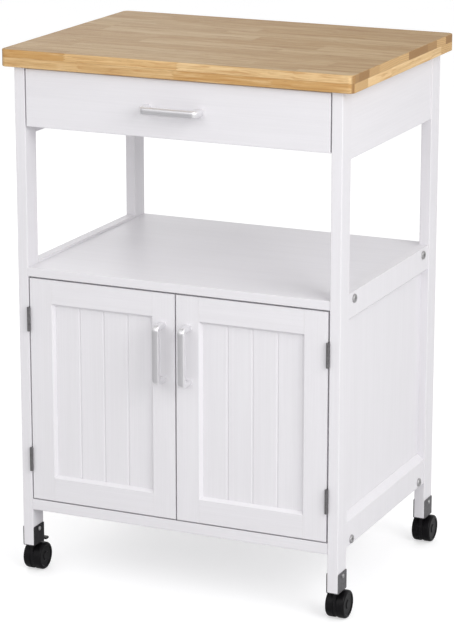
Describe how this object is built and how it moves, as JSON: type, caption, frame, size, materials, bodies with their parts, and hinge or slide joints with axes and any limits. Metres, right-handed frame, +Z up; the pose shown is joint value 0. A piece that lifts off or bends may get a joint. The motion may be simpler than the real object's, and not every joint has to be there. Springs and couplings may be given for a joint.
{
  "type": "kitchen cart",
  "caption": "Rolling kitchen cart: stave worktop on a painted frame with an inset drawer, open shelf and a cabinet with panelled doors, on swivel twin-wheel casters.",
  "frame": {"origin": "centre of the bounding box in X and Y, on the floor under the casters", "axes": "+Z up, -Y out of the drawer and door fronts, +X to the right seen from the front"},
  "size_m": [0.6, 0.4754, 0.878],
  "materials": {
    "white_paint": "satin white paint over wood",
    "rubberwood": "oiled stave board",
    "white_hardboard": "white coated hardboard",
    "satin_aluminium": "satin",
    "zinc_steel": "zinc plated",
    "bracket_steel": "plain grey sheet steel",
    "white_enamel": "white enamel",
    "white_plastic": "matte",
    "black_nylon": "fine grain",
    "black_wheel": "fine grain"
  },
  "bodies": {
    "frame": {"apron_back": "white_paint", "apron_left": "white_paint", "apron_right": "white_paint", "cabinet_back": "white_hardboard", "cabinet_floor": "white_paint", "door_catches": "white_plastic", "foot_brackets": "bracket_steel", "foot_screws": "zinc_steel", "frame_screws": "zinc_steel", "hinge_post_leaves": "zinc_steel", "post_back_left": "white_paint", "post_back_right": "white_paint", "post_front_left": "white_paint", "post_front_right": "white_paint", "runner_left": "white_enamel", "runner_right": "white_enamel", "shelf_board": "white_paint", "side_panel_left": "white_paint", "side_panel_right": "white_paint", "side_rails_left": "white_paint", "side_rails_right": "white_paint", "worktop_board": "rubberwood", "worktop_brackets": "zinc_steel", "worktop_screws": "zinc_steel", "worktop_strips_long": "rubberwood", "worktop_strips_short": "rubberwood"},
    "drawer": {"drawer_back": "white_paint", "drawer_bottom": "white_hardboard", "drawer_front": "white_paint", "drawer_pull": "satin_aluminium", "drawer_pull_screws": "zinc_steel", "drawer_side_left": "white_paint", "drawer_side_right": "white_paint", "drawer_slide_left": "white_enamel", "drawer_slide_right": "white_enamel"},
    "door_left": {"door_left_fixings": "zinc_steel", "door_left_hinges": "zinc_steel", "door_left_panel": "white_paint", "door_left_pull": "satin_aluminium", "door_left_rail_bottom": "white_paint", "door_left_rail_top": "white_paint", "door_left_stile_hinge": "white_paint", "door_left_stile_meeting": "white_paint"},
    "door_right": {"door_right_fixings": "zinc_steel", "door_right_hinges": "zinc_steel", "door_right_panel": "white_paint", "door_right_pull": "satin_aluminium", "door_right_rail_bottom": "white_paint", "door_right_rail_top": "white_paint", "door_right_stile_hinge": "white_paint", "door_right_stile_meeting": "white_paint"},
    "swivel_back_left": {"caster_back_left_hood": "black_nylon"},
    "wheels_back_left": {"caster_back_left_wheels": "black_wheel"},
    "swivel_back_right": {"caster_back_right_hood": "black_nylon"},
    "wheels_back_right": {"caster_back_right_wheels": "black_wheel"},
    "brake_front_left": {"caster_front_left_brake": "black_nylon"},
    "swivel_front_left": {"caster_front_left_hood": "black_nylon"},
    "wheels_front_left": {"caster_front_left_wheels": "black_wheel"},
    "swivel_front_right": {"caster_front_right_hood": "black_nylon"},
    "wheels_front_right": {"caster_front_right_wheels": "black_wheel"}
  },
  "joints": [
    {"name": "drawer_slide", "type": "slide", "parent": "frame", "child": "drawer", "axis": [0, -1, 0], "range_m": [0, 0.26]},
    {"name": "door_left_hinge", "type": "hinge", "parent": "frame", "child": "door_left", "pos_m": [-0.26075, -0.21095, 0.32], "axis": [0, 0, -1], "range_deg": [0, 165]},
    {"name": "door_right_hinge", "type": "hinge", "parent": "frame", "child": "door_right", "pos_m": [0.26075, -0.21095, 0.32], "axis": [0, 0, 1], "range_deg": [0, 165]},
    {"name": "swivel_front_left", "type": "hinge", "parent": "frame", "child": "swivel_front_left", "pos_m": [-0.271, -0.18975, 0.047], "axis": [0, 0, 1], "continuous": true},
    {"name": "roll_front_left", "type": "hinge", "parent": "swivel_front_left", "child": "wheels_front_left", "pos_m": [-0.271, -0.17725, 0.023], "axis": [1, 0, 0], "continuous": true},
    {"name": "swivel_front_right", "type": "hinge", "parent": "frame", "child": "swivel_front_right", "pos_m": [0.271, -0.18975, 0.047], "axis": [0, 0, 1], "continuous": true},
    {"name": "roll_front_right", "type": "hinge", "parent": "swivel_front_right", "child": "wheels_front_right", "pos_m": [0.271, -0.17725, 0.023], "axis": [1, 0, 0], "continuous": true},
    {"name": "swivel_back_left", "type": "hinge", "parent": "frame", "child": "swivel_back_left", "pos_m": [-0.271, 0.20225, 0.047], "axis": [0, 0, 1], "continuous": true},
    {"name": "roll_back_left", "type": "hinge", "parent": "swivel_back_left", "child": "wheels_back_left", "pos_m": [-0.271, 0.21475, 0.023], "axis": [1, 0, 0], "continuous": true},
    {"name": "swivel_back_right", "type": "hinge", "parent": "frame", "child": "swivel_back_right", "pos_m": [0.271, 0.20225, 0.047], "axis": [0, 0, 1], "continuous": true},
    {"name": "roll_back_right", "type": "hinge", "parent": "swivel_back_right", "child": "wheels_back_right", "pos_m": [0.271, 0.21475, 0.023], "axis": [1, 0, 0], "continuous": true},
    {"name": "brake_front_left", "type": "hinge", "parent": "swivel_front_left", "child": "brake_front_left", "pos_m": [-0.271, -0.16375, 0.0435], "axis": [-1, 0, 0], "range_deg": [0, 15]}
  ]
}
